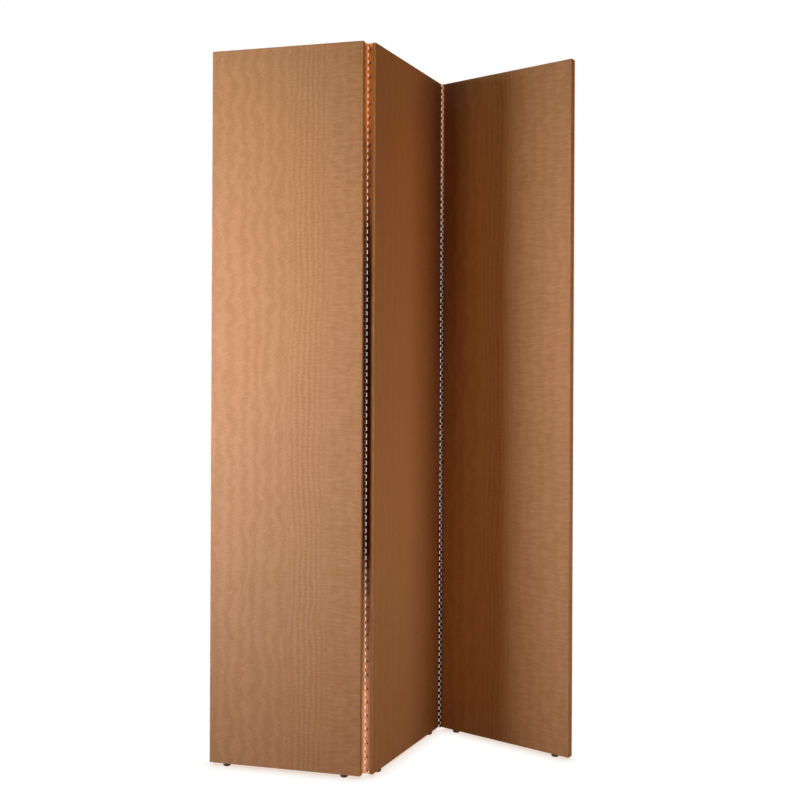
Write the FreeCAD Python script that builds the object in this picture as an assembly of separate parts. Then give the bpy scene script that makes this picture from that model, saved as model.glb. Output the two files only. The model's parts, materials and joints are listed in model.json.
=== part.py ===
import FreeCAD, Part
import math
import os

from FreeCAD import Placement, Rotation, Vector

# Folding room divider: three fabric-covered panels joined by two continuous hinges.
# Lengths are millimetres and angles are degrees. +Z is up and the panels' fronts face -Y.

# Panel
panel_height = 2150.0
panel_width = 475.0
fabric_thickness = 1.5
board_thickness = 2.0
frame_thickness = 16.0
edge_radius = 2.5
back_turn_in = 14.0
seam_gap = 0.2

# Timber frame inside a panel
stile_width = 45.0
end_rail_height = 70.0
cross_rail_height = 50.0
cross_rail_count = 3
dowel_diameter = 8.0
dowel_length = 40.0
dowel_height_shares = (0.35, 0.75)
glue_clearance = 0.1

# Glides under a panel
glide_diameter = 23.0
glide_height = 8.0
glide_rounding = 3.6
glide_top_rounding = 0.6
glide_inset = 53.0
nail_diameter = 2.5
nail_head_diameter = 7.0
nail_head_height = 1.2
nail_head_cover = 3.0
nail_grip = 16.0

# Continuous hinge
pin_diameter = 2.8
pin_clearance = 0.05
leaf_thickness = 1.2
leaf_width = 17.5
knuckle_length = 10.0
knuckle_gap = 0.4
notch_clearance = 1.6
pin_stand_off = 4.5
hinge_end_gap = 1.0

# Hinge screws
screw_pitch = 40.0
screw_line = 10.5
screw_drop = 5.0
screw_end_margin = 8.0
screw_head_diameter = 5.0
screw_shank_diameter = 2.8
screw_length = 16.0
screw_tip_length = 3.0
screw_clearance = 0.05
recess_width = 0.7
recess_span = 2.6
recess_depth = 0.6

# How the screen stands: each panel's heading seen from above
left_heading = -13.7
middle_heading = 64.0
right_heading = -36.9

# Cuts run this far past the faces they go through
overrun = 1.0

half_turn = 180.0
panel_thickness = frame_thickness + 2 * board_thickness + 2 * fabric_thickness
frame_width = panel_width - 2 * fabric_thickness
frame_height = panel_height - 2 * fabric_thickness
rail_length = frame_width - 2 * stile_width
face_y = panel_thickness / 2
frame_y = frame_thickness / 2
pin_radius = pin_diameter / 2
bore_radius = pin_radius + pin_clearance
barrel_radius = bore_radius + leaf_thickness
hinge_length = panel_height - 2 * hinge_end_gap
head_depth = (screw_head_diameter - screw_shank_diameter) / 2
origin = Vector(0, 0, 0)
up = Vector(0, 0, 1)


def box(low, high):
    """Box between two corners, each given as (x, y, z)."""
    size = [top - bottom for bottom, top in zip(low, high)]
    return Part.makeBox(size[0], size[1], size[2], Vector(*low))


def row_places(first, reach, pitch):
    """Places first + k * pitch, for whole k, that lie within reach of zero."""
    lowest = math.ceil((-reach - first) / pitch)
    highest = math.floor((reach - first) / pitch)
    return [first + k * pitch for k in range(lowest, highest + 1)]


def moved(shape, offset):
    copy = shape.copy()
    copy.translate(offset)
    return copy


def turned_profile(points):
    """Solid of revolution about +X from an outline of (along, radius) points."""
    outline = [Vector(along, radius, 0) for along, radius in points]
    face = Part.Face(Part.makePolygon(outline + [outline[0]]))
    return face.revolve(origin, Vector(1, 0, 0), 2 * half_turn)


# Timber frame

def rail_levels():
    """Each rail's bottom and height: bottom rail, cross rails, top rail."""
    clear = frame_height - 2 * end_rail_height - cross_rail_count * cross_rail_height
    bay = clear / (cross_rail_count + 1)
    bottom_rail = (fabric_thickness, end_rail_height)
    top_rail = (panel_height - fabric_thickness - end_rail_height, end_rail_height)
    cross_rails = []
    for index in range(cross_rail_count):
        level = fabric_thickness + end_rail_height + bay
        level += index * (bay + cross_rail_height)
        cross_rails.append((level, cross_rail_height))
    return bottom_rail, cross_rails, top_rail


def dowels(clearance):
    """The dowels that join the rails to both stiles, grown by a clearance."""
    bottom_rail, cross_rails, top_rail = rail_levels()
    joints = (fabric_thickness + stile_width, panel_width - fabric_thickness - stile_width)
    length = dowel_length + 2 * clearance
    radius = dowel_diameter / 2 + clearance
    solids = []
    for level, height in [bottom_rail] + cross_rails + [top_rail]:
        for joint in joints:
            for share in dowel_height_shares:
                start = Vector(joint - length / 2, 0, level + share * height)
                solids.append(Part.makeCylinder(radius, length, start, Vector(1, 0, 0)))
    return solids


def stile(start, cutters):
    low = (start, -frame_y, fabric_thickness)
    high = (start + stile_width, frame_y, panel_height - fabric_thickness)
    return box(low, high).cut(cutters)


def rail(level, height, cutters):
    start = fabric_thickness + stile_width
    low = (start, -frame_y, level)
    high = (start + rail_length, frame_y, level + height)
    return box(low, high).cut(cutters)


# Boards and fabric

def board(start):
    """Thin board over the whole frame, from depth start towards the back."""
    low = (fabric_thickness, start, fabric_thickness)
    high = (panel_width - fabric_thickness, start + board_thickness, panel_height - fabric_thickness)
    return box(low, high)


def front_cover(cutters):
    """Fabric over the front and all four edges, turned in round the back."""
    shell = box((0, -face_y, 0), (panel_width, face_y, panel_height))
    shell = shell.makeFillet(edge_radius, shell.Edges)
    inside_y = face_y - fabric_thickness
    inside_low = (fabric_thickness, -inside_y, fabric_thickness)
    inside_high = (panel_width - fabric_thickness, inside_y, panel_height - fabric_thickness)
    opening_low = (back_turn_in, 0, back_turn_in)
    opening_high = (panel_width - back_turn_in, face_y + overrun, panel_height - back_turn_in)
    return shell.cut([box(inside_low, inside_high), box(opening_low, opening_high)] + cutters)


def back_cover():
    """Fabric sheet stitched into the turned-in edge at the back."""
    edge = back_turn_in + seam_gap
    return box((edge, face_y - fabric_thickness, edge), (panel_width - edge, face_y, panel_height - edge))


# Glides

def glide_centres():
    return [Vector(glide_inset, 0, 0), Vector(panel_width - glide_inset, 0, 0)]


def nails(clearance):
    """Nails that fix the glides, with their heads inside the plastic."""
    head_bottom = nail_head_cover - glide_height - clearance
    head_top = head_bottom + nail_head_height + 2 * clearance
    tip = nail_grip + clearance
    head_radius = nail_head_diameter / 2 + clearance
    shank_radius = nail_diameter / 2 + clearance
    outline = [
        (head_bottom, 0),
        (head_bottom, head_radius),
        (head_top, head_radius),
        (head_top, shank_radius),
        (tip - nail_diameter, shank_radius),
        (tip, 0),
    ]
    nail = turned_profile(outline)
    nail.rotate(origin, Vector(0, 1, 0), -half_turn / 2)
    return [moved(nail, centre) for centre in glide_centres()]


def glides():
    """Round glides with a flat foot and a domed lower edge."""
    blank = Part.makeCylinder(glide_diameter / 2, glide_height, Vector(0, 0, -glide_height), up)
    low_rim = [edge for edge in blank.Edges if edge.BoundBox.ZMax < -glide_height / 2]
    blank = blank.makeFillet(glide_rounding, low_rim)
    high_rim = [edge for edge in blank.Edges if edge.BoundBox.ZMin > -glide_height / 4]
    blank = blank.makeFillet(glide_top_rounding, high_rim)
    return [moved(blank, centre).cut(nails(pin_clearance)) for centre in glide_centres()]


# Hinges, modelled with the pin's axis on Z and the leaf's panel on the +X side

def knuckle_places(offset):
    reach = hinge_length / 2 + knuckle_length / 2
    return row_places(offset, reach, 2 * knuckle_length)


def leaf(notch_offset, way):
    """Leaf with every second knuckle cut away, from notch_offset above mid-height."""
    inner_face = barrel_radius - leaf_thickness
    meeting = math.sqrt(barrel_radius ** 2 - inner_face ** 2)
    tangent = Vector(barrel_radius, 0, 0)
    tip = Vector(barrel_radius, leaf_width, 0)
    inner_tip = Vector(inner_face, leaf_width, 0)
    inner_root = Vector(inner_face, meeting, 0)
    curl = Part.Arc(inner_root, Vector(-barrel_radius, 0, 0), tangent)
    edges = [
        Part.LineSegment(tangent, tip),
        Part.LineSegment(tip, inner_tip),
        Part.LineSegment(inner_tip, inner_root),
        curl,
    ]
    section = Part.Face(Part.Wire([edge.toShape() for edge in edges]))
    section.translate(Vector(0, 0, -hinge_length / 2))
    solid = section.extrude(Vector(0, 0, hinge_length))
    bore_start = Vector(0, 0, -hinge_length / 2 - overrun)
    bore = Part.makeCylinder(bore_radius, hinge_length + 2 * overrun, bore_start, up)
    side = barrel_radius + overrun
    half_notch = (knuckle_length + knuckle_gap) / 2
    notch = box((-side, -side, -half_notch), (side, barrel_radius + notch_clearance, half_notch))
    notches = [moved(notch, Vector(0, 0, place)) for place in knuckle_places(notch_offset)]
    return solid.cut([bore] + notches + screws(screw_clearance, way))


def pin():
    return Part.makeCylinder(pin_radius, hinge_length, Vector(0, 0, -hinge_length / 2), up)


def screw_outline(clearance):
    head = screw_head_diameter / 2 + clearance
    shank = screw_shank_diameter / 2 + clearance
    tip = screw_length + clearance
    return [
        (0, 0),
        (0, head),
        (head_depth, shank),
        (tip - screw_tip_length, shank),
        (tip, 0),
    ]


def screws(clearance, way):
    """Countersunk screws down a leaf; a clearance makes the holes they pass through.

    They stand a little below the knuckles' middles. The way is 1 for a leaf that stays
    upright on its panel and -1 for one that the half turn to its edge stands on its head.
    """
    screw = turned_profile(screw_outline(clearance))
    if clearance == 0:
        half_span = recess_span / 2
        half_width = recess_width / 2
        upright = box((-overrun, -half_width, -half_span), (recess_depth, half_width, half_span))
        level = box((-overrun, -half_span, -half_width), (recess_depth, half_span, half_width))
        screw = screw.cut([upright, level])
    reach = hinge_length / 2 - screw_end_margin
    heights = row_places(screw_pitch / 2 - way * screw_drop, reach, screw_pitch)
    face = barrel_radius - leaf_thickness
    return [moved(screw, Vector(face, screw_line, height)) for height in heights]


# Each hinged edge of a panel: its side, the face its pin stands at, and the half turn
# that brings the hinge there from the place where it is modelled
edge_turns = {
    ("left", "front"): Rotation(),
    ("right", "back"): Rotation(up, half_turn),
    ("left", "back"): Rotation(Vector(1, 0, 0), half_turn),
    ("right", "front"): Rotation(Vector(0, 1, 0), half_turn),
}


def way_up(side, face):
    """1 where the half turn to an edge leaves a hinge upright, -1 where it is on its head."""
    return round(edge_turns[(side, face)].multVec(up).z)


def pin_place(side, face):
    """The pin's mid-point, beside a panel's edge and standing off its face."""
    x = -barrel_radius if side == "left" else panel_width + barrel_radius
    y = face_y + pin_stand_off
    return Vector(x, -y if face == "front" else y, panel_height / 2)


def at_edge(shapes, side, face):
    """Hinge pieces brought to an edge of a panel."""
    seat = Placement(pin_place(side, face), edge_turns[(side, face)])
    return [shape.transformed(seat.toMatrix()) for shape in shapes]


# Panels. Each is modelled with its left front edge on X = 0 and its bottom edge on Z = 0

def panel_nodes(name, hinged_edges):
    """The pieces of one panel, by node name."""
    dowel_holes = dowels(glue_clearance)
    nail_holes = nails(pin_clearance)
    screw_holes = {"left": [], "right": []}
    for side, face in hinged_edges:
        holes = screws(screw_clearance, way_up(side, face))
        screw_holes[side] = at_edge(holes, side, face)
    bottom_rail, cross_rails, top_rail = rail_levels()
    right_stile_start = panel_width - fabric_thickness - stile_width
    all_screw_holes = screw_holes["left"] + screw_holes["right"]
    return {
        name + "_left_stile": [stile(fabric_thickness, dowel_holes + screw_holes["left"])],
        name + "_right_stile": [stile(right_stile_start, dowel_holes + screw_holes["right"])],
        name + "_top_rail": [rail(*top_rail, dowel_holes)],
        name + "_bottom_rail": [rail(*bottom_rail, dowel_holes + nail_holes)],
        name + "_cross_rails": [rail(*level, dowel_holes) for level in cross_rails],
        name + "_dowels": dowels(0),
        name + "_front_board": [board(-frame_y - board_thickness)],
        name + "_back_board": [board(frame_y)],
        name + "_front_cover": [front_cover(nail_holes + all_screw_holes)],
        name + "_back_cover": [back_cover()],
        name + "_glides": glides(),
        name + "_glide_nails": nails(0),
    }


def hinge_nodes(hinge, half, notch_offset, side, face):
    """One leaf with its screws, brought to the edge of its panel."""
    way = way_up(side, face)
    return {
        hinge + "_" + half + "_leaf": at_edge([leaf(notch_offset, way)], side, face),
        hinge + "_" + half + "_screws": at_edge(screws(0, way), side, face),
    }


def panel_seat(heading, own_pin, shared_pin):
    """Placement that turns a panel to its heading with its own pin on a shared one."""
    turn = Rotation(up, heading)
    return Placement(shared_pin - turn.multVec(own_pin), turn)


def placed(nodes, seat):
    matrix = seat.toMatrix()
    return {name: [solid.transformed(matrix) for solid in solids] for name, solids in nodes.items()}


# The left panel's pin is behind it and the right panel's pin is in front of it
left = panel_nodes("left_panel", [("right", "back")])
left.update(hinge_nodes("left_hinge", "left", knuckle_length, "right", "back"))
middle = panel_nodes("middle_panel", [("left", "back"), ("right", "front")])
middle.update(hinge_nodes("left_hinge", "right", 0, "left", "back"))
middle.update(hinge_nodes("right_hinge", "left", knuckle_length, "right", "front"))
middle["left_hinge_pin"] = at_edge([pin()], "left", "back")
middle["right_hinge_pin"] = at_edge([pin()], "right", "front")
right = panel_nodes("right_panel", [("left", "front")])
right.update(hinge_nodes("right_hinge", "right", 0, "left", "front"))

middle_seat = Placement(Vector(0, 0, glide_height), Rotation(up, middle_heading))
left_pin = middle_seat.multVec(pin_place("left", "back"))
right_pin = middle_seat.multVec(pin_place("right", "front"))
nodes = placed(left, panel_seat(left_heading, pin_place("right", "back"), left_pin))
nodes.update(placed(middle, middle_seat))
nodes.update(placed(right, panel_seat(right_heading, pin_place("left", "front"), right_pin)))

# The origin is on the floor under the middle of the standing screen's outline
outline = Part.makeCompound([solid for solids in nodes.values() for solid in solids])
extent = outline.optimalBoundingBox(False)
centre = Vector(extent.Center.x, extent.Center.y, 0)

os.makedirs("parts", exist_ok=True)
for name, solids in nodes.items():
    for solid in solids:
        solid.translate(-centre)
    shape = solids[0] if len(solids) == 1 else Part.makeCompound(solids)
    shape.exportStep("parts/" + name + ".step")

print("extent", round(extent.XLength, 3), round(extent.YLength, 3), round(extent.ZLength, 3))
print("left pin", left_pin - centre)
print("right pin", right_pin - centre)
for name, solids in nodes.items():
    if name.endswith("_glides"):
        for solid in solids:
            foot = solid.BoundBox
            print(name, round(foot.Center.x, 4), round(foot.Center.y, 4), round(foot.ZMin, 4))
print(len(nodes), "nodes,", sum(len(solids) for solids in nodes.values()), "solids")
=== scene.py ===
import json
import math

import bmesh
import bpy
from mathutils import Matrix, Vector


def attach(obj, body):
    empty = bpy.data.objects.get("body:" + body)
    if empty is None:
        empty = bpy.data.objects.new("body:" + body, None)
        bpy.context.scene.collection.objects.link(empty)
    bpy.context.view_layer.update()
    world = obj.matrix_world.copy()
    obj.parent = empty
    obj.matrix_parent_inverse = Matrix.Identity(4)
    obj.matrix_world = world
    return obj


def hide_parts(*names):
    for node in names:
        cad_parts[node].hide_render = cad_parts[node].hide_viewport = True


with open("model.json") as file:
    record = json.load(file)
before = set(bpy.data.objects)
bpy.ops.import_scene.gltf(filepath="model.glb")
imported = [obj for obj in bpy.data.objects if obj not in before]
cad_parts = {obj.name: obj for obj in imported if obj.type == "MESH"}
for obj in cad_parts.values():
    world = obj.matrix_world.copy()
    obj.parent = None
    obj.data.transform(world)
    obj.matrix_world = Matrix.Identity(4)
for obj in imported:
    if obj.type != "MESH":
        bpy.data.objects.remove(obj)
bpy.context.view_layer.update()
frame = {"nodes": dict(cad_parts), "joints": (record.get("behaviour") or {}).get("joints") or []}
nodes = frame["nodes"]
pins = {joint["name"]: Vector(joint["pos_m"]) for joint in frame["joints"]}
print("frame loaded:", len(nodes), "nodes")

# Lengths are metres. A panel is shaped with the Z axis up the middle of its left edge, its
# front facing -Y and its bottom edge on Z = 0, and is then turned to its heading.


# Selecting and shaping

samePoint = 0.000002        # points nearer than this are merged


def clearSelection():
    if bpy.context.mode != "OBJECT":
        bpy.ops.object.mode_set(mode="OBJECT")
    bpy.ops.object.select_all(action="DESELECT")


def activate(piece):
    clearSelection()
    piece.select_set(True)
    bpy.context.view_layer.objects.active = piece


def addBlock(name, low, high):
    clearSelection()
    size = [top - bottom for bottom, top in zip(low, high)]
    middle = [(top + bottom) / 2 for bottom, top in zip(low, high)]
    bpy.ops.mesh.primitive_cube_add(size=1, location=middle, scale=size)
    piece = bpy.context.object
    piece.name = name
    bpy.ops.object.transform_apply(location=True, rotation=True, scale=True)
    return piece


def addRod(name, radius, low, high, sides):
    # a cylinder up the Z axis from low to high
    clearSelection()
    bpy.ops.mesh.primitive_cylinder_add(
        vertices=sides, radius=radius, depth=high - low, location=(0, 0, (low + high) / 2))
    piece = bpy.context.object
    piece.name = name
    bpy.ops.object.transform_apply(location=True, rotation=True, scale=True)
    return piece


def pickFaces(piece, wanted):
    # leaves the piece in edit mode with the wanted faces selected; wanted gets centre and normal
    bpy.ops.object.mode_set(mode="EDIT")
    bpy.ops.mesh.select_mode(type="FACE")
    bpy.ops.mesh.select_all(action="DESELECT")
    mesh = bmesh.from_edit_mesh(piece.data)
    for face in mesh.faces:
        face.select_set(bool(wanted(face.calc_center_median(), face.normal)))
    mesh.select_flush_mode()
    bmesh.update_edit_mesh(piece.data)


def pickEdges(piece, wanted):
    # the same for edges; wanted gets the two ends
    bpy.ops.object.mode_set(mode="EDIT")
    bpy.ops.mesh.select_mode(type="EDGE")
    bpy.ops.mesh.select_all(action="DESELECT")
    mesh = bmesh.from_edit_mesh(piece.data)
    for edge in mesh.edges:
        edge.select_set(bool(wanted(edge.verts[0].co, edge.verts[1].co)))
    mesh.select_flush_mode()
    bmesh.update_edit_mesh(piece.data)


def cutAcross(place, along, keepBelow=False, keepAbove=False):
    # cuts the active piece along a plane, and drops what isn't kept
    bpy.ops.object.mode_set(mode="EDIT")
    bpy.ops.mesh.select_all(action="SELECT")
    bpy.ops.mesh.bisect(
        plane_co=place, plane_no=along, clear_outer=keepBelow, clear_inner=keepAbove)


def addModifier(piece, kind, **settings):
    activate(piece)
    modifier = piece.modifiers.new(kind.title(), kind)
    for setting, value in settings.items():
        setattr(modifier, setting, value)
    bpy.ops.object.modifier_apply(modifier=modifier.name)


def smoothEdges(piece, degrees):
    activate(piece)
    bpy.ops.object.shade_smooth_by_angle(angle=math.radians(degrees))


def pointOutwards(piece):
    activate(piece)
    bpy.ops.object.mode_set(mode="EDIT")
    bpy.ops.mesh.select_all(action="SELECT")
    bpy.ops.mesh.remove_doubles(threshold=samePoint)
    bpy.ops.mesh.normals_make_consistent(inside=False)
    bpy.ops.object.mode_set(mode="OBJECT")


def copyOf(piece, name):
    twin = piece.copy()
    twin.data = piece.data.copy()
    twin.name = name
    bpy.context.collection.objects.link(twin)
    return twin


def settle(piece, seat):
    # puts a finished piece in its seat, with its place in its mesh
    activate(piece)
    piece.matrix_world = seat @ piece.matrix_world
    bpy.ops.object.transform_apply(location=True, rotation=True, scale=True)


# Colours and nodes. A pattern's count is how many of it there are to a metre.

waveBand = 2 * math.pi / 20     # a wave texture's spacing at scale 1


def linear(hexColour):
    # sRGB hex to the linear colour that a shader takes
    parts = [int(hexColour[i:i + 2], 16) / 255 for i in (1, 3, 5)]
    return [p / 12.92 if p <= 0.04045 else ((p + 0.055) / 1.055) ** 2.4 for p in parts] + [1]


def addNode(tree, kind, settings=None, links=None):
    # settings name a property or an input; links name an input and the output it takes
    node = tree.nodes.new(kind)
    for key, value in (settings or {}).items():
        if isinstance(key, int) or key in node.inputs:
            node.inputs[key].default_value = value
        else:
            setattr(node, key, value)
    for key, output in (links or {}).items():
        tree.links.new(output, node.inputs[key])
    return node


def newMaterial(name):
    material = bpy.data.materials.new(name)
    material.use_nodes = True
    material.node_tree.nodes.clear()
    return material, material.node_tree


def closeMaterial(tree, shader, settings, links):
    surface = addNode(tree, shader, settings, links)
    addNode(tree, "ShaderNodeOutputMaterial", links={"Surface": surface.outputs[0]})


def dress(piece, material):
    piece.data.materials.clear()
    piece.data.materials.append(material)


# Watered silk: ribbed cloth crushed between rollers, so its ribs throw back light in a
# woodgrain of upright lines down the middle, in broad wandering streams with short climbing
# strokes on the left of it and in level dashes on the right. The real ribs are about 0.5 mm
# apart and are drawn at 1.6 mm, because finer ones don't show.

# the figure is painted into the cloth's colour between its lit and shade tones: partly the watered
# figure itself, partly painted sheen of the ribs
silk = {
    "lit": "#d59c72",
    "shade": "#c2895d",
    "ownShine": 0.03,       # the share of light thrown back as gloss in the cloth's own colour
    "roughness": 0.5,
    "glossSpread": 0.08,    # the lit figure is this much smoother, and the shade as much rougher
    "middle": 0.304,        # where the woodgrain runs, across the cloth
    "grainHalf": 0.02,      # it is full this far from its middle, and gone at its end
    "grainEnd": 0.085,
    "dashesFrom": 0.04,     # the dashes start this far right of its middle
    "dashesFull": 0.1,
    "lineSpacing": 0.0172,
    "streamSpacing": 0.042,
    "rippleSpacing": 0.0112,
    "rippleClimb": 0.45,    # rise over run
    "ribSpacing": 0.0016,
    "ribRelief": 0.00012,
    "pushAcross": 0.055,    # how far the rollers push the ribs
    "pushUp": 0.03,
    "pushCount": (5.0, 1.8),        # across and up, so 200 and 560 mm apart
    "patchCount": 48.0,             # 21 mm apart
    "dashCount": (20.0, 110.0),     # 50 mm long and 9 mm high
    "cloudCount": 12.0,             # 83 mm apart
    "threadCount": (210.0, 330.0),  # thick places, drawn 5 by 3 mm so that they show
    "contrast": 0.22,
    # painted sheen: how strongly each panel shows its figure in the light that reaches it, weakest
    # on the middle one, in shade
    "figureAndSheen": {"left_panel": 1.15, "middle_panel": 0.5, "right_panel": 1.05},
}


def makeSilk(name, strength):
    material, tree = newMaterial(name)
    fullTurn = 2 * math.pi
    cloth = addNode(tree, "ShaderNodeTexCoord")

    # the rollers push the ribs aside, so that every line wanders
    slow = addNode(tree, "ShaderNodeMapping", {"Scale": (*silk["pushCount"], 1.0)}, {
        "Vector": cloth.outputs["UV"]})
    push = addNode(tree, "ShaderNodeTexNoise", {
        "noise_dimensions": "2D", "Scale": 1.0, "Detail": 6.0, "Roughness": 0.62}, {
        "Vector": slow.outputs[0]})
    pushed = addNode(tree, "ShaderNodeVectorMath", {
        "operation": "MULTIPLY_ADD", 1: (silk["pushAcross"], silk["pushUp"], 0.0)}, {
        0: push.outputs[1], 2: cloth.outputs["UV"]})
    place = addNode(tree, "ShaderNodeSeparateXYZ", links={0: pushed.outputs[0]})

    lines = addNode(tree, "ShaderNodeTexWave", {
        "bands_direction": "X", "Scale": waveBand / silk["lineSpacing"], "Distortion": 2.6,
        "Detail": 3.0, "Detail Scale": 3.5}, {"Vector": pushed.outputs[0]})
    climb = addNode(tree, "ShaderNodeMapRange", {
        1: 0.0, 2: silk["middle"], 3: 0.0,
        4: -fullTurn * silk["rippleClimb"] * silk["middle"] / silk["rippleSpacing"]}, {
        0: place.outputs[0]})
    ripples = addNode(tree, "ShaderNodeTexWave", {
        "bands_direction": "Y", "Scale": waveBand / silk["rippleSpacing"], "Distortion": 9.0,
        "Detail": 3.0, "Detail Scale": 1.4, "Detail Roughness": 0.66}, {
        "Vector": pushed.outputs[0], "Phase Offset": climb.outputs[0]})

    # left of the woodgrain the ripples are short strokes in patches, over broad upright streams
    patches = addNode(tree, "ShaderNodeTexNoise", {
        "noise_dimensions": "2D", "Scale": silk["patchCount"]}, {"Vector": cloth.outputs["UV"]})
    strong = addNode(tree, "ShaderNodeMapRange", {1: 0.35, 2: 0.75}, {0: patches.outputs[0]})
    rightOf = addNode(tree, "ShaderNodeMapRange", {
        1: silk["middle"] + silk["dashesFrom"], 2: silk["middle"] + silk["dashesFull"],
        4: 0.8}, {0: place.outputs[0]})
    here = addNode(tree, "ShaderNodeMath", {"operation": "MAXIMUM"}, {
        0: strong.outputs[0], 1: rightOf.outputs[0]})
    # right of it they break into level dashes
    level = addNode(tree, "ShaderNodeMapping", {"Scale": (*silk["dashCount"], 1.0)}, {
        "Vector": pushed.outputs[0]})
    scattered = addNode(tree, "ShaderNodeTexNoise", {
        "noise_dimensions": "2D", "Scale": 1.0, "Detail": 2.0}, {"Vector": level.outputs[0]})
    dashes = addNode(tree, "ShaderNodeMapRange", {1: 0.37, 2: 0.63}, {0: scattered.outputs[0]})
    broken = addNode(tree, "ShaderNodeMix", links={
        0: rightOf.outputs[0], 2: ripples.outputs[1], 3: dashes.outputs[0]})
    strokes = addNode(tree, "ShaderNodeMix", {2: 0.5}, {0: here.outputs[0], 3: broken.outputs[0]})
    streams = addNode(tree, "ShaderNodeTexWave", {
        "bands_direction": "X", "Scale": waveBand / silk["streamSpacing"], "Distortion": 9.0,
        "Detail": 6.0, "Detail Scale": 1.6, "Detail Roughness": 0.7}, {
        "Vector": pushed.outputs[0]})
    streamShare = addNode(tree, "ShaderNodeMapRange", {2: 0.8, 3: 0.5, 4: 0.3}, {
        0: rightOf.outputs[0]})
    beside = addNode(tree, "ShaderNodeMix", links={
        0: streamShare.outputs[0], 2: strokes.outputs[0], 3: streams.outputs[1]})

    # the woodgrain is beaded by the ripples and fades away from its middle
    beaded = addNode(tree, "ShaderNodeMix", {0: 0.35}, {2: lines.outputs[1], 3: ripples.outputs[1]})
    pushedMiddle = silk["middle"] + silk["pushAcross"] / 2
    off = addNode(tree, "ShaderNodeMath", {"operation": "SUBTRACT", 1: pushedMiddle}, {
        0: place.outputs[0]})
    away = addNode(tree, "ShaderNodeMath", {"operation": "ABSOLUTE"}, {0: off.outputs[0]})
    share = addNode(tree, "ShaderNodeMapRange", {
        1: silk["grainHalf"], 2: silk["grainEnd"], 3: 1.0, 4: 0.0}, {0: away.outputs[0]})
    figureAndSheen = addNode(tree, "ShaderNodeMix", links={
        0: share.outputs[0], 2: beside.outputs[0], 3: beaded.outputs[0]})

    # clouded patches and uneven weft threads over all of it
    clouds = addNode(tree, "ShaderNodeTexNoise", {
        "noise_dimensions": "2D", "Scale": silk["cloudCount"], "Detail": 3.0}, {
        "Vector": cloth.outputs["UV"]})
    laid = addNode(tree, "ShaderNodeMapping", {"Scale": (*silk["threadCount"], 1.0)}, {
        "Vector": cloth.outputs["UV"]})
    threads = addNode(tree, "ShaderNodeTexNoise", {"noise_dimensions": "2D", "Scale": 1.0}, {
        "Vector": laid.outputs[0]})
    cloudy = addNode(tree, "ShaderNodeMix", {0: 0.3}, {2: figureAndSheen.outputs[0], 3: clouds.outputs[0]})
    woven = addNode(tree, "ShaderNodeMix", {0: 0.48}, {2: cloudy.outputs[0], 3: threads.outputs[0]})
    # painted sheen: the figure's colour swing is scaled for each panel by the light that reaches it
    reach = silk["contrast"] / strength
    tint = addNode(tree, "ShaderNodeMapRange", {1: 0.5 - reach, 2: 0.5 + reach}, {
        0: woven.outputs[0]})
    colour = addNode(tree, "ShaderNodeMix", {
        "data_type": "RGBA", 6: linear(silk["shade"]), 7: linear(silk["lit"])}, {
        0: tint.outputs[0]})
    gloss = addNode(tree, "ShaderNodeMapRange", {
        1: 0.0, 2: 1.0, 3: silk["roughness"] + silk["glossSpread"],
        4: silk["roughness"] - silk["glossSpread"]}, {0: tint.outputs[0]})
    ribs = addNode(tree, "ShaderNodeTexWave", {
        "bands_direction": "Y", "Scale": waveBand / silk["ribSpacing"]}, {
        "Vector": cloth.outputs["UV"]})
    relief = addNode(tree, "ShaderNodeMix", {0: 0.5}, {2: ribs.outputs[1], 3: threads.outputs[0]})
    bump = addNode(tree, "ShaderNodeBump", {"Strength": 0.35, "Distance": silk["ribRelief"]}, {
        "Height": relief.outputs[0]})
    closeMaterial(tree, "ShaderNodeBsdfPrincipled", {
        "Specular IOR Level": 0.0, "Metallic": silk["ownShine"]}, {
        "Base Color": colour.outputs[2], "Roughness": gloss.outputs[0],
        "Normal": bump.outputs[0]})
    return material


# Timber: pale softwood or beech sawn flat, so that a face shows its rings broad and stretched
# along the grain. Its pores are drawn 1.1 mm apart so that they show.

timber = {
    "alongGrain": 0.06,     # the share of each count that is left along the grain
    "swayCount": 9.0,
    "poreCount": 900.0,
    "poreDepth": 0.0003,
}


def makeTimber(name, early, late, ringSpacing, grainAxis, roughness):
    material, tree = newMaterial(name)
    where = addNode(tree, "ShaderNodeTexCoord")
    stretch = [1.0, 1.0, 1.0]
    stretch[grainAxis] = timber["alongGrain"]
    laid = addNode(tree, "ShaderNodeMapping", {"Scale": stretch}, {
        "Vector": where.outputs["Object"]})
    sway = addNode(tree, "ShaderNodeTexNoise", {"Scale": timber["swayCount"], "Detail": 3.0}, {
        "Vector": laid.outputs[0]})
    rings = addNode(tree, "ShaderNodeTexWave", {
        "wave_type": "RINGS", "rings_direction": "XYZ"[grainAxis],
        "Scale": waveBand / ringSpacing, "Distortion": 5.0, "Detail": 2.0,
        "Detail Scale": 1.4}, {"Vector": laid.outputs[0]})
    both = addNode(tree, "ShaderNodeMath", {"operation": "MULTIPLY"}, {
        0: rings.outputs[1], 1: sway.outputs[0]})
    colour = addNode(tree, "ShaderNodeMix", {
        "data_type": "RGBA", 6: linear(early), 7: linear(late)}, {0: both.outputs[0]})
    pores = addNode(tree, "ShaderNodeTexNoise", {"Scale": timber["poreCount"], "Detail": 2.0}, {
        "Vector": laid.outputs[0]})
    bump = addNode(tree, "ShaderNodeBump", {"Strength": 0.2, "Distance": timber["poreDepth"]}, {
        "Height": pores.outputs[0]})
    closeMaterial(tree, "ShaderNodeBsdfPrincipled", {"Roughness": roughness}, {
        "Base Color": colour.outputs[2], "Normal": bump.outputs[0]})
    return material


# Hardboard: pressed wood fibre, brown and matt, with flecks 2.4 mm apart

fibreboard = {
    "dark": "#6b4a2f",
    "light": "#96704a",
    "roughness": 0.78,
    "fleckCount": 420.0,
    "fleckRelief": 0.0002,
}


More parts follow.
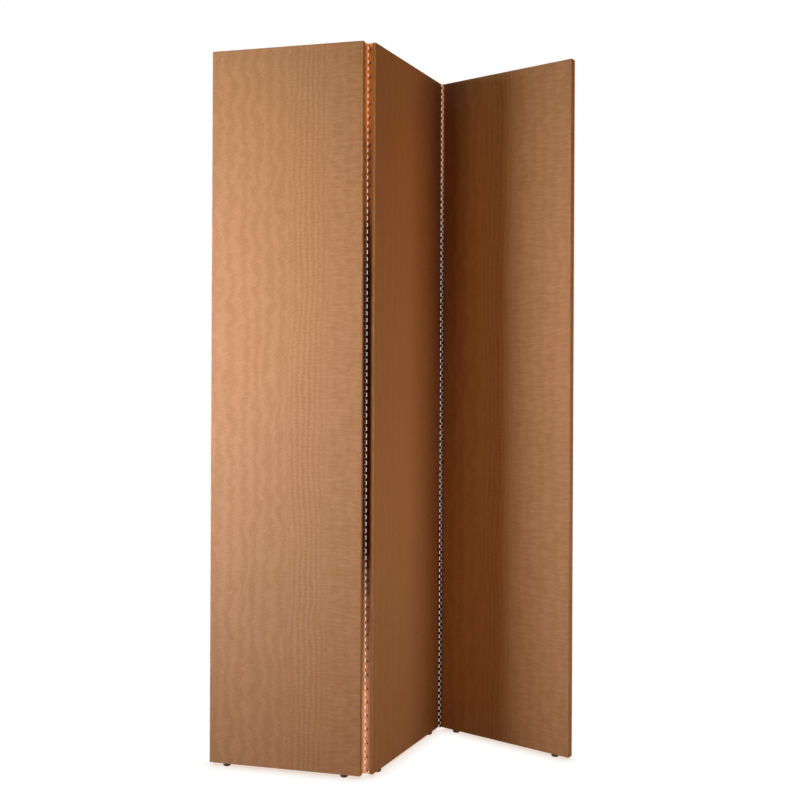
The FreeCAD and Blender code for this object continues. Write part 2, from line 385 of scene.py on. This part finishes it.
def makeHardboard():
    material, tree = newMaterial("pressedHardboard")
    where = addNode(tree, "ShaderNodeTexCoord")
    flecks = addNode(tree, "ShaderNodeTexNoise", {
        "Scale": fibreboard["fleckCount"], "Detail": 4.0, "Roughness": 0.7}, {
        "Vector": where.outputs["Object"]})
    colour = addNode(tree, "ShaderNodeMix", {
        "data_type": "RGBA", 6: linear(fibreboard["dark"]), 7: linear(fibreboard["light"])}, {
        0: flecks.outputs[0]})
    bump = addNode(tree, "ShaderNodeBump", {
        "Strength": 0.3, "Distance": fibreboard["fleckRelief"]}, {"Height": flecks.outputs[0]})
    closeMaterial(tree, "ShaderNodeBsdfPrincipled", {"Roughness": fibreboard["roughness"]}, {
        "Base Color": colour.outputs[2], "Normal": bump.outputs[0]})
    return material


# Metals: rolled, drawn or turned, so their scratches run one way; handling dulls them in
# patches. Fine scratches are drawn 0.4 mm apart so that they show.

metalSkin = {
    "scratchCount": 2500.0,     # across the scratches
    "alongCount": 60.0,
    "scratchDepth": 0.00005,
    "scratchGloss": 0.04,       # how far scratches and patches change the roughness
    "patchGloss": 0.05,
    "patchCount": 35.0,         # 29 mm apart
}


def makeMetal(name, bright, dull, roughness, scratch, scratchAxis):
    material, tree = newMaterial(name)
    where = addNode(tree, "ShaderNodeTexCoord")
    stretch = [metalSkin["scratchCount"]] * 3
    stretch[scratchAxis] = metalSkin["alongCount"]
    laid = addNode(tree, "ShaderNodeMapping", {"Scale": stretch}, {
        "Vector": where.outputs["Object"]})
    lines = addNode(tree, "ShaderNodeTexNoise", {"Scale": 1.0, "Detail": 2.0}, {
        "Vector": laid.outputs[0]})
    patches = addNode(tree, "ShaderNodeTexNoise", {
        "Scale": metalSkin["patchCount"], "Detail": 4.0, "Roughness": 0.6}, {
        "Vector": where.outputs["Object"]})
    clean = addNode(tree, "ShaderNodeMapRange", {1: 0.35, 2: 0.6}, {0: patches.outputs[0]})
    colour = addNode(tree, "ShaderNodeMix", {
        "data_type": "RGBA", 6: linear(dull), 7: linear(bright)}, {0: clean.outputs[0]})
    paintedShadeColour = addNode(tree, "ShaderNodeMapRange", {
        1: 0.3, 2: 0.7, 3: roughness - metalSkin["patchGloss"],
        4: roughness + metalSkin["patchGloss"]}, {0: patches.outputs[0]})
    scratched = addNode(tree, "ShaderNodeMapRange", {
        1: 0.3, 2: 0.7, 3: -metalSkin["scratchGloss"], 4: metalSkin["scratchGloss"]}, {
        0: lines.outputs[0]})
    worn = addNode(tree, "ShaderNodeMath", {"operation": "ADD"}, {
        0: paintedShadeColour.outputs[0], 1: scratched.outputs[0]})
    bump = addNode(tree, "ShaderNodeBump", {
        "Strength": scratch, "Distance": metalSkin["scratchDepth"]}, {"Height": lines.outputs[0]})
    closeMaterial(tree, "ShaderNodeBsdfPrincipled", {"Metallic": 1.0}, {
        "Base Color": colour.outputs[2], "Roughness": worn.outputs[0],
        "Normal": bump.outputs[0]})
    return material


# Coppered steel strip for the hinges: rolled smooth, so it mirrors the studio softly. The brown
# between two heights is painted dark reflection on the left hinge, and painted shade below the top
# on the right one, in the fold

hingeSteelPaintedShade = {
    "upper": "#d39454",
    "from": 0.45,           # heights where the painted dark band starts and ends
    "to": 1.75,
    "spread": 0.5,
    "creep": 0.35,          # how unevenly the painted band's edges wander along the hinge
    "blotchCount": 9.0,     # 110 mm apart
    "roughness": 0.2,
    "glossSpread": 0.03,
}


def makeHingeSteel(name, paintedShadeColour, lower):
    material, tree = newMaterial(name)
    where = addNode(tree, "ShaderNodeTexCoord")
    drawn = addNode(tree, "ShaderNodeMapping", {"Scale": (
        metalSkin["scratchCount"], metalSkin["scratchCount"], metalSkin["alongCount"])}, {
        "Vector": where.outputs["Object"]})
    rolling = addNode(tree, "ShaderNodeTexNoise", {"Scale": 1.0}, {"Vector": drawn.outputs[0]})
    blotches = addNode(tree, "ShaderNodeTexNoise", {
        "Scale": hingeSteelPaintedShade["blotchCount"], "Detail": 3.0}, {"Vector": where.outputs["Object"]})
    place = addNode(tree, "ShaderNodeSeparateXYZ", links={0: where.outputs["Object"]})
    height = addNode(tree, "ShaderNodeMath", {"operation": "MULTIPLY_ADD", 1: hingeSteelPaintedShade["creep"]}, {
        0: blotches.outputs[0], 2: place.outputs[2]})
    middle = hingeSteelPaintedShade["creep"] / 2
    below = addNode(tree, "ShaderNodeMapRange", {
        1: hingeSteelPaintedShade["from"] + middle - hingeSteelPaintedShade["spread"] / 2,
        2: hingeSteelPaintedShade["from"] + middle + hingeSteelPaintedShade["spread"] / 2}, {0: height.outputs[0]})
    above = addNode(tree, "ShaderNodeMapRange", {
        1: hingeSteelPaintedShade["to"] + middle - hingeSteelPaintedShade["spread"] / 2,
        2: hingeSteelPaintedShade["to"] + middle + hingeSteelPaintedShade["spread"] / 2}, {0: height.outputs[0]})
    # painted dark reflection and shade: the colour between the heights is not the copper's own
    low = addNode(tree, "ShaderNodeMix", {
        "data_type": "RGBA", 6: linear(lower), 7: linear(paintedShadeColour)}, {
        0: below.outputs[0]})
    whole = addNode(tree, "ShaderNodeMix", {
        "data_type": "RGBA", 7: linear(hingeSteelPaintedShade["upper"])}, {
        0: above.outputs[0], 6: low.outputs[2]})
    gloss = addNode(tree, "ShaderNodeMapRange", {
        1: 0.3, 2: 0.7, 3: hingeSteelPaintedShade["roughness"] - hingeSteelPaintedShade["glossSpread"],
        4: hingeSteelPaintedShade["roughness"] + hingeSteelPaintedShade["glossSpread"]}, {0: rolling.outputs[0]})
    bump = addNode(tree, "ShaderNodeBump", {
        "Strength": 0.05, "Distance": metalSkin["scratchDepth"]}, {"Height": rolling.outputs[0]})
    closeMaterial(tree, "ShaderNodeBsdfPrincipled", {"Metallic": 1.0}, {
        "Base Color": whole.outputs[2], "Roughness": gloss.outputs[0],
        "Normal": bump.outputs[0]})
    return material


# Polyethylene: moulded black glides with a skin faintly grained at 0.7 mm, scuffed by floors

polyethylene = {
    "moulded": "#0d0d0e",
    "scuffed": "#1b1b1c",
    "mouldedRoughness": 0.38,
    "scuffedRoughness": 0.58,
    "grainCount": 1400.0,
    "grainDepth": 0.0001,
    "scuffCount": 160.0,    # 6 mm apart
}


def makeGlidePlastic():
    material, tree = newMaterial("mouldedPolyethylene")
    where = addNode(tree, "ShaderNodeTexCoord")
    skin = addNode(tree, "ShaderNodeTexNoise", {
        "Scale": polyethylene["grainCount"], "Detail": 2.0}, {"Vector": where.outputs["Object"]})
    scuffs = addNode(tree, "ShaderNodeTexNoise", {
        "Scale": polyethylene["scuffCount"], "Detail": 4.0}, {"Vector": where.outputs["Object"]})
    colour = addNode(tree, "ShaderNodeMix", {
        "data_type": "RGBA", 6: linear(polyethylene["moulded"]),
        7: linear(polyethylene["scuffed"])}, {0: scuffs.outputs[0]})
    rough = addNode(tree, "ShaderNodeMapRange", {
        1: 0.3, 2: 0.7, 3: polyethylene["mouldedRoughness"],
        4: polyethylene["scuffedRoughness"]}, {0: scuffs.outputs[0]})
    bump = addNode(tree, "ShaderNodeBump", {
        "Strength": 0.25, "Distance": polyethylene["grainDepth"]}, {"Height": skin.outputs[0]})
    closeMaterial(tree, "ShaderNodeBsdfPrincipled", {}, {
        "Base Color": colour.outputs[2], "Roughness": rough.outputs[0],
        "Normal": bump.outputs[0]})
    return material


wateredSilk = {name: makeSilk(name + "WateredSilk", strength)
               for name, strength in silk["figureAndSheen"].items()}
uprightPine = makeTimber("planedPineUpright", "#dcb98a", "#a97a48", 0.025, 2, 0.6)
levelPine = makeTimber("planedPineLevel", "#d8b485", "#a67746", 0.025, 0, 0.6)
beech = makeTimber("turnedBeech", "#d9b28c", "#bb8f66", 0.0125, 0, 0.55)
hardboard = makeHardboard()
# the left hinge's brown middle is painted dark reflection; the right hinge, deep in the fold, is
# painted shade below the top
steelPaintedDarkReflection = makeHingeSteel("copperedSteelPaintedDarkReflection", "#55301f", "#e5b592")
steelPaintedShade = makeHingeSteel("copperedSteelPaintedShade", "#5a2a14", "#5a2a14")
drawnWire = makeMetal("drawnSteelWire", "#b9a596", "#8d7a6c", 0.28, 0.15, 2)
bronzedSteel = makeMetal("bronzedScrewSteel", "#1f140e", "#100a07", 0.38, 0.2, 0)
nailSteel = makeMetal("brightNailSteel", "#c9c9c7", "#9c9c9a", 0.3, 0.2, 2)
glidePlastic = makeGlidePlastic()
print("materials made")


# Where each panel stands

panel = {
    "width": 0.475,
    "height": 2.150,
    "thickness": 0.023,
    "floorGap": 0.008,      # the glides hold it off the floor
}
headings = {"left_panel": -13.7, "middle_panel": 64.0, "right_panel": -36.9}

hinge = {
    "barrelRadius": 0.00265,
    "metal": 0.0012,
    "leafWidth": 0.0175,
    "length": 2.148,
    "standOff": 0.0045,     # from a panel's face to the pin's axis
    "knuckle": 0.0096,
    "spacing": 0.010,
    "notchDepth": 0.0036,   # from the axis
    "closeNotchDepth": 0.0033,
    "edgeBreak": 0.00012,
    "pinRadius": 0.0014,
    "pinEndRound": 0.0005,
    "curl": 298,            # degrees that a knuckle is rolled round the pin
    "curlSteps": 14,
    "screwLine": 0.0105,
    "screwPitch": 0.040,
    "screwLowest": 0.009,   # from the hinge's bottom end
    "screwCount": 54,
    "sinkWide": 0.00286,    # radii of the cone that cuts a countersunk hole, and its height
    "sinkNarrow": 0.00146,
    "sinkHeight": 0.0014,
    "sinkProud": 0.0003,    # how far the cone stands out of the metal
    "sinkThrough": 0.001,   # how far its narrow end runs on, straight out of the back
    "seam": 0.00001,        # lengths of strip join where they are this close
}

pinReach = panel["thickness"] / 2 + hinge["standOff"]
pinBeside = {
    ("left", "front"): (-hinge["barrelRadius"], -pinReach),
    ("left", "back"): (-hinge["barrelRadius"], pinReach),
    ("right", "front"): (panel["width"] + hinge["barrelRadius"], -pinReach),
    ("right", "back"): (panel["width"] + hinge["barrelRadius"], pinReach),
}
heldBy = {
    "left_panel": ("left_fold", "right", "back"),
    "middle_panel": ("left_fold", "left", "back"),
    "right_panel": ("right_fold", "left", "front"),
}
seats = {}
for name, (joint, side, face) in heldBy.items():
    turned = Matrix.Rotation(math.radians(headings[name]), 4, "Z")
    own = turned @ Vector((*pinBeside[(side, face)], 0))
    leftEdge = Vector((pins[joint].x, pins[joint].y, panel["floorGap"])) - own
    seats[name] = Matrix.Translation(leftEdge) @ turned


# Fabric over the front and all four edges, turned in round the back

frontCloth = {
    "cloth": 0.0015,
    "edgeRadius": 0.0025,
    "edgeSteps": 3,
    "turnIn": 0.014,
    "cutWidth": 0.549,      # 475 across, 23 on each edge and 14 turned in
    "cutLength": 2.224,
    "grooveWidth": 0.0022,  # where the cloth sinks beside a hinge leaf
    "grooveDepth": 0.0012,
    # how far along the bolt each panel's cloth is cut, across and up, so that none repeats
    "patternShift": {"left_panel": (0.0, 0.0), "middle_panel": (0.05, 5.31),
                     "right_panel": (0.10, 11.74)},
}


def measureCloth(piece, shift):
    # the cloth's own measure in metres, carried round the edges so that the pattern runs on
    thick = panel["thickness"]
    measure = piece.data.uv_layers.active or piece.data.uv_layers.new(name="cloth")
    for face in piece.data.polygons:
        for corner in face.loop_indices:
            at = piece.data.vertices[piece.data.loops[corner].vertex_index].co
            depth = at.y + thick / 2
            across, up = at.x, at.z
            if face.normal.x > 0.7:
                across = panel["width"] + depth
            elif face.normal.x < -0.7:
                across = -depth
            elif face.normal.z > 0.7:
                up = panel["height"] + depth
            elif face.normal.z < -0.7:
                up = -depth
            measure.data[corner].uv = (across + shift[0], up + shift[1])


def makeFrontCover():
    half = panel["thickness"] / 2
    piece = addBlock("frontCover", (0, -half, 0), (panel["width"], half, panel["height"]))
    bpy.ops.object.mode_set(mode="EDIT")
    bpy.ops.mesh.select_all(action="SELECT")
    bpy.ops.mesh.bevel(offset=frontCloth["edgeRadius"], segments=frontCloth["edgeSteps"],
                       affect="EDGES")
    pickFaces(piece, lambda centre, normal: normal.y > 0.99)
    bpy.ops.mesh.inset(thickness=frontCloth["turnIn"] - frontCloth["edgeRadius"])
    bpy.ops.mesh.delete(type="FACE")
    bpy.ops.object.mode_set(mode="OBJECT")
    addModifier(piece, "SOLIDIFY", thickness=frontCloth["cloth"], offset=-1)
    smoothEdges(piece, 40)
    return piece


def sinkBesideLeaf(piece, side, face):
    # the leaf's screws pull the cloth down in a line along the leaf's free edge
    way = 1 if side == "right" else -1
    edge = panel["width"] if side == "right" else 0
    inwards = 1 if face == "front" else -1
    leafEnd = inwards * (hinge["leafWidth"] - pinReach)
    far = leafEnd + inwards * frontCloth["grooveWidth"]
    activate(piece)
    for y in (leafEnd, far):
        cutAcross((0, y, 0), (0, 1, 0))
    pickFaces(piece, lambda centre, normal:
              abs(centre.x - edge) < 0.0001 and min(leafEnd, far) < centre.y < max(leafEnd, far))
    bpy.ops.mesh.extrude_region_move(
        TRANSFORM_OT_translate={"value": (-way * frontCloth["grooveDepth"], 0, 0)})
    bpy.ops.object.mode_set(mode="OBJECT")


hingedEdges = {
    "left_panel": [("right", "back")],
    "middle_panel": [("left", "back"), ("right", "front")],
    "right_panel": [("left", "front")],
}
frontCover = makeFrontCover()
for name, seat in seats.items():
    cover = copyOf(frontCover, name + "FrontCloth")
    for side, face in hingedEdges[name]:
        sinkBesideLeaf(cover, side, face)
    measureCloth(cover, frontCloth["patternShift"][name])
    dress(cover, wateredSilk[name])
    settle(cover, seat)
    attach(cover, name)
    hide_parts(name + "_front_cover")
bpy.data.objects.remove(frontCover)
print("front covers made")


# The sheet that closes the back, with its edge folded under and slip-stitched

backCloth = {
    "cloth": 0.0015,
    "inFromEdge": 0.0142,
    "foldRadius": 0.0007,
    "foldSteps": 2,
    "cutWidth": 0.471,      # 446.6 seen and 12 folded under at each edge
    "cutLength": 2.146,
    "patternRise": 23.0,    # so that no back repeats a front
}


def makeBackCover():
    edge = backCloth["inFromEdge"]
    back = panel["thickness"] / 2
    piece = addBlock("backCover", (edge, back - backCloth["cloth"], edge),
                     (panel["width"] - edge, back, panel["height"] - edge))
    pickFaces(piece, lambda centre, normal: normal.y > 0.99)
    bpy.ops.mesh.bevel(offset=backCloth["foldRadius"], segments=backCloth["foldSteps"],
                       affect="EDGES")
    bpy.ops.object.mode_set(mode="OBJECT")
    smoothEdges(piece, 40)
    return piece


backCover = makeBackCover()
for name, seat in seats.items():
    cover = copyOf(backCover, name + "BackCloth")
    across, up = frontCloth["patternShift"][name]
    measureCloth(cover, (across, up + backCloth["patternRise"]))
    dress(cover, wateredSilk[name])
    settle(cover, seat)
    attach(cover, name)
    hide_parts(name + "_back_cover")
bpy.data.objects.remove(backCover)
print("back covers made")


# Hinge leaves: strip with notches cut in it and the knuckles rolled round the pin. Shaped
# with the pin on the Z axis and the leaf's panel on the +X side, the strip along +Y.

def makeLeaf(name, firstNotch, notchDepth, screwWay):
    radius = hinge["barrelRadius"]
    spacing = hinge["spacing"]
    pitch = 4 * spacing
    half = hinge["length"] / 2
    gap = (spacing - hinge["knuckle"]) / 2
    # one length of strip with two knuckles, starting in the middle of a notch
    clearSelection()
    bpy.ops.mesh.primitive_plane_add(size=1, location=(0, 0, 0))
    strip = bpy.context.object
    strip.name = name
    strip.rotation_euler = (0, math.radians(90), 0)
    strip.scale = (pitch, hinge["leafWidth"], 1)
    bpy.ops.object.transform_apply(location=True, rotation=True, scale=True)
    strip.location = (radius, hinge["leafWidth"] / 2, pitch / 2)
    bpy.ops.object.transform_apply(location=True, rotation=True, scale=True)
    cuts = [spacing / 2 + gap, 1.5 * spacing - gap, 2.5 * spacing + gap, 3.5 * spacing - gap]
    for cut in cuts:
        cutAcross((0, 0, cut), (0, 0, 1))
    cutAcross((0, notchDepth, 0), (0, 1, 0))

    def inKnuckle(z):
        return cuts[0] < z < cuts[1] or cuts[2] < z < cuts[3]

    pickFaces(strip, lambda centre, normal:
              centre.y < notchDepth and not inKnuckle(centre.z))
    bpy.ops.mesh.delete(type="FACE")
    pickEdges(strip, lambda a, b: abs(a.y) < 1e-6 and abs(b.y) < 1e-6)
    bpy.ops.mesh.spin(steps=hinge["curlSteps"], angle=math.radians(hinge["curl"]),
                      center=(0, 0, 0), axis=(0, 0, 1))
    bpy.ops.object.mode_set(mode="OBJECT")
    # enough lengths for the whole hinge, from below its bottom end
    start = -half - ((-half - firstNotch) % (2 * spacing))
    count = math.ceil((half - start) / pitch)
    addModifier(strip, "ARRAY", count=count, use_relative_offset=False,
                use_constant_offset=True, constant_offset_displace=(0, 0, pitch),
                use_merge_vertices=True, merge_threshold=hinge["seam"])
    strip.location.z = start
    activate(strip)
    bpy.ops.object.transform_apply(location=True, rotation=True, scale=True)
    cutAcross((0, 0, half), (0, 0, 1), keepBelow=True)
    cutAcross((0, 0, -half), (0, 0, 1), keepAbove=True)
    bpy.ops.object.mode_set(mode="OBJECT")
    pointOutwards(strip)
    # the metal's thickness goes towards the pin
    outermost = max(strip.data.polygons, key=lambda face: face.center.y)
    inwards = -1 if outermost.normal.x > 0 else 1
    addModifier(strip, "SOLIDIFY", thickness=hinge["metal"], offset=inwards)
    pointOutwards(strip)
    # countersunk holes, cut by cones that open towards the pin
    clearSelection()
    bpy.ops.mesh.primitive_cone_add(
        vertices=20, radius1=hinge["sinkWide"], radius2=hinge["sinkNarrow"],
        depth=hinge["sinkHeight"], rotation=(0, math.radians(90), 0),
        location=(radius - hinge["metal"] - hinge["sinkProud"] + hinge["sinkHeight"] / 2,
                  hinge["screwLine"], 0))
    tool = bpy.context.object
    bpy.ops.object.transform_apply(location=True, rotation=True, scale=True)
    pickFaces(tool, lambda centre, normal: normal.x > 0.9)
    bpy.ops.mesh.extrude_region_move(
        TRANSFORM_OT_translate={"value": (hinge["sinkThrough"], 0, 0)})
    bpy.ops.object.mode_set(mode="OBJECT")
    lowest = -half + hinge["screwLowest"]
    if screwWay < 0:
        lowest = half - hinge["screwLowest"] - (hinge["screwCount"] - 1) * hinge["screwPitch"]
    tool.location.z = lowest
    activate(tool)
    bpy.ops.object.transform_apply(location=True, rotation=True, scale=True)
    addModifier(tool, "ARRAY", count=hinge["screwCount"], use_relative_offset=False,
                use_constant_offset=True, constant_offset_displace=(0, 0, hinge["screwPitch"]))
    addModifier(strip, "BOOLEAN", operation="DIFFERENCE", object=tool, solver="EXACT")
    bpy.data.objects.remove(tool)
    addModifier(strip, "BEVEL", width=hinge["edgeBreak"], segments=1, limit_method="ANGLE",
                angle_limit=math.radians(50))
    smoothEdges(strip, 35)
    return strip


def makePin(name):
    # hinge wire, cut to length with its ends dressed round
    piece = addRod(name, hinge["pinRadius"], -hinge["length"] / 2, hinge["length"] / 2, 24)
    pickFaces(piece, lambda centre, normal: abs(normal.z) > 0.9)
    bpy.ops.mesh.bevel(offset=hinge["pinEndRound"], segments=3, affect="EDGES")
    bpy.ops.object.mode_set(mode="OBJECT")
    smoothEdges(piece, 40)
    return piece


# The half turn that brings a hinge from where it is shaped to each edge of a panel
halfTurns = {
    ("left", "front"): Matrix.Identity(4),
    ("right", "back"): Matrix.Rotation(math.pi, 4, "Z"),
    ("left", "back"): Matrix.Rotation(math.pi, 4, "X"),
    ("right", "front"): Matrix.Rotation(math.pi, 4, "Y"),
}
leaves = [
    # node, panel, its side and face, height of the first notch, depth of the notches
    ("left_hinge_left_leaf", "left_panel", "right", "back", hinge["spacing"], hinge["notchDepth"]),
    ("left_hinge_right_leaf", "middle_panel", "left", "back", 0.0, hinge["notchDepth"]),
    ("right_hinge_left_leaf", "middle_panel", "right", "front", hinge["spacing"],
     hinge["notchDepth"]),
    ("right_hinge_right_leaf", "right_panel", "left", "front", 0.0, hinge["closeNotchDepth"]),
]


def edgeSeat(name, side, face):
    place = Vector((*pinBeside[(side, face)], panel["height"] / 2))
    return seats[name] @ Matrix.Translation(place) @ halfTurns[(side, face)]


for node, name, side, face, notch, depth in leaves:
    way = round(halfTurns[(side, face)][2][2])
    leaf = makeLeaf(node + "Strip", notch, depth, way)
    dress(leaf, steelPaintedDarkReflection if node.startswith("left_hinge") else steelPaintedShade)
    settle(leaf, edgeSeat(name, side, face))
    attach(leaf, name)
    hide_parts(node)
    print(node, "made with", len(leaf.data.polygons), "faces")

for node, side, face in (("left_hinge_pin", "left", "back"), ("right_hinge_pin", "right", "front")):
    pin = makePin(node + "Wire")
    dress(pin, drawnWire)
    settle(pin, edgeSeat("middle_panel", side, face))
    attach(pin, "middle_panel")
    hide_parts(node)
print("hinges made")


# Glides: round plastic feet with a rolled lower edge and a gate mark underneath

glide = {
    "radius": 0.0115,
    "height": 0.008,
    "rolledEdge": 0.0036,
    "topEdge": 0.0006,
    "gateMark": 0.0022,
    "gateDepth": 0.0004,
    "inFromSide": 0.053,
    "sides": 40,
}


def makeGlide(name, x):
    piece = addRod(name, glide["radius"], -glide["height"], 0, glide["sides"])
    pickFaces(piece, lambda centre, normal: normal.z < -0.9)
    bpy.ops.mesh.bevel(offset=glide["rolledEdge"], segments=5, affect="EDGES")
    pickFaces(piece, lambda centre, normal: normal.z > 0.99)
    bpy.ops.mesh.bevel(offset=glide["topEdge"], segments=2, affect="EDGES")
    pickFaces(piece, lambda centre, normal: normal.z < -0.99)
    flat = glide["radius"] - glide["rolledEdge"]
    bpy.ops.mesh.inset(thickness=flat - glide["gateMark"])
    bpy.ops.mesh.extrude_region_move(TRANSFORM_OT_translate={"value": (0, 0, glide["gateDepth"])})
    bpy.ops.object.mode_set(mode="OBJECT")
    piece.location = (x, 0, 0)
    activate(piece)
    bpy.ops.object.transform_apply(location=True, rotation=True, scale=True)
    smoothEdges(piece, 35)
    return piece


for name, seat in seats.items():
    for which, x in (("Left", glide["inFromSide"]), ("Right", panel["width"] - glide["inFromSide"])):
        foot = makeGlide(name + which + "Glide", x)
        dress(foot, glidePlastic)
        settle(foot, seat)
        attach(foot, name)
        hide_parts(name + "_glides")
print("glides made")


# What stays as the CAD has it takes its finish here

keptFinishes = {
    "_stile": uprightPine, "_top_rail": levelPine, "_bottom_rail": levelPine,
    "_cross_rails": levelPine, "_dowels": beech, "_board": hardboard,
    "_screws": bronzedSteel, "_nails": nailSteel,
}
for node, piece in nodes.items():
    for ending, finish in keptFinishes.items():
        if node.endswith(ending):
            for slot in piece.material_slots:
                slot.material = finish
print("kept nodes finished")


# Camera, at the photograph's height and distance

view = {
    "place": (0.0177, -3.2962, 1.1595),
    "lens": 47.253,
    "sensor": 36,
    "shiftY": -0.0218,
    "lean": -0.264,         # degrees
}
clearSelection()
bpy.ops.object.camera_add(
    location=view["place"], rotation=(math.radians(90), math.radians(view["lean"]), 0))
camera = bpy.context.object
camera.data.lens = view["lens"]
camera.data.sensor_width = view["sensor"]
camera.data.shift_y = view["shiftY"]
bpy.context.scene.camera = camera


# Studio: white floor and surround, four soft lamps on the left, two weak ones before the screen,
# two on the right for the panel that faces away, one overhead and one behind for the backs

studio = {
    "floorHalf": 6.0,
    "paper": "#9c9b99",
    "paperShade": "#dcc4b0",    # close under the panels
    "shadeReach": 0.05,
    "paperGlow": 1.08,
    "glowShare": 0.95,      # the rest is the paper as it is lit, which takes the shadows
    "ambient": 0.02,
    "lamps": {
        # degrees left of the camera, distance, height, height aimed at, side, beam in degrees,
        # watts, colour
        "keySoftboxLow": (60, 3.2, 0.5, 0.5, 1.0, 60, 5.4, "#eaf4ff"),
        "keySoftboxMiddle": (60, 3.2, 1.2, 1.2, 1.0, 60, 1.5, "#c4d6ff"),
        "keySoftboxHigh": (60, 3.2, 1.9, 1.9, 1.0, 60, 6.6, "#f5fff8"),
        "sideSoftbox": (74, 3.2, 1.2, 1.2, 0.6, 60, 7.0, "#c4d6ff"),
        "frontSoftbox": (36, 3.2, 1.9, 1.9, 0.6, 60, 1.5, "#ffdd95"),
        "floorSoftbox": (-12, 3.0, 0.5, 0.3, 1.0, 70, 2.1, "#ffd895"),
        "rightSoftboxLow": (-72, 2.4, 0.6, 0.6, 1.0, 90, 2.6, "#fffbef"),
        "rightSoftboxHigh": (-72, 2.4, 2.0, 2.0, 1.0, 90, 2.8, "#ffc781"),
        "topSoftbox": (170, 1.0, 4.3, 2.0, 1.6, 150, 14.0, "#ffffff"),
        "backSoftbox": (192, 3.2, 1.4, 1.2, 2.2, 120, 26.0, "#ffffff"),
    },
}


def addLamp(name, left, distance, height, aimHeight, side, beam, power, colour):
    clearSelection()
    turn = math.radians(left)
    place = Vector((-math.sin(turn) * distance, -math.cos(turn) * distance, height))
    bpy.ops.object.light_add(type="AREA", location=place)
    lamp = bpy.context.object
    lamp.name = name
    lamp.data.size = side
    lamp.data.spread = math.radians(beam)
    lamp.data.energy = power
    lamp.data.color = linear(colour)[:3]
    aim = Vector((0, 0, aimHeight)) - place
    lamp.rotation_euler = aim.to_track_quat("-Z", "Y").to_euler()


for name, settings in studio["lamps"].items():
    addLamp(name, *settings)


def seenNotLighting(tree):
    # 1 where a ray comes from the camera, a mirror or clear matter, and 0 where it lights
    path = addNode(tree, "ShaderNodeLightPath")
    straight = addNode(tree, "ShaderNodeMath", {"operation": "MAXIMUM"}, {
        0: path.outputs["Is Camera Ray"], 1: path.outputs["Is Glossy Ray"]})
    seen = addNode(tree, "ShaderNodeMath", {"operation": "MAXIMUM"}, {
        0: straight.outputs[0], 1: path.outputs["Is Transmission Ray"]})
    return seen.outputs[0]


clearSelection()
bpy.ops.mesh.primitive_plane_add(size=2 * studio["floorHalf"], location=(0, 0, 0))
floor = bpy.context.object
floor.name = "studioFloor"
floorPaper, tree = newMaterial("whiteFloorPaper")
paper = addNode(tree, "ShaderNodeBsdfDiffuse", {"Color": linear(studio["paper"])})
nearby = addNode(tree, "ShaderNodeAmbientOcclusion", {
    "samples": 16, "Distance": studio["shadeReach"]})
shaded = addNode(tree, "ShaderNodeMix", {
    "data_type": "RGBA", 6: linear(studio["paperShade"]), 7: (1, 1, 1, 1)}, {
    0: nearby.outputs["AO"]})
glow = addNode(tree, "ShaderNodeEmission", {"Strength": studio["paperGlow"]}, {
    "Color": shaded.outputs[2]})
share = addNode(tree, "ShaderNodeMath", {"operation": "MULTIPLY", 1: studio["glowShare"]}, {
    0: seenNotLighting(tree)})
blend = addNode(tree, "ShaderNodeMixShader", links={
    0: share.outputs[0], 1: paper.outputs[0], 2: glow.outputs[0]})
addNode(tree, "ShaderNodeOutputMaterial", links={"Surface": blend.outputs[0]})
dress(floor, floorPaper)

world = bpy.data.worlds.new("studioSurround")
bpy.context.scene.world = world
world.use_nodes = True
tree = world.node_tree
tree.nodes.clear()
level = addNode(tree, "ShaderNodeMapRange", {
    1: 0.0, 2: 1.0, 3: studio["ambient"], 4: 1.0}, {0: seenNotLighting(tree)})
surround = addNode(tree, "ShaderNodeBackground", {"Color": (1, 1, 1, 1)}, {
    "Strength": level.outputs[0]})
addNode(tree, "ShaderNodeOutputWorld", links={"Surface": surround.outputs[0]})

bpy.context.scene.view_settings.view_transform = "Standard"
print("studio made")
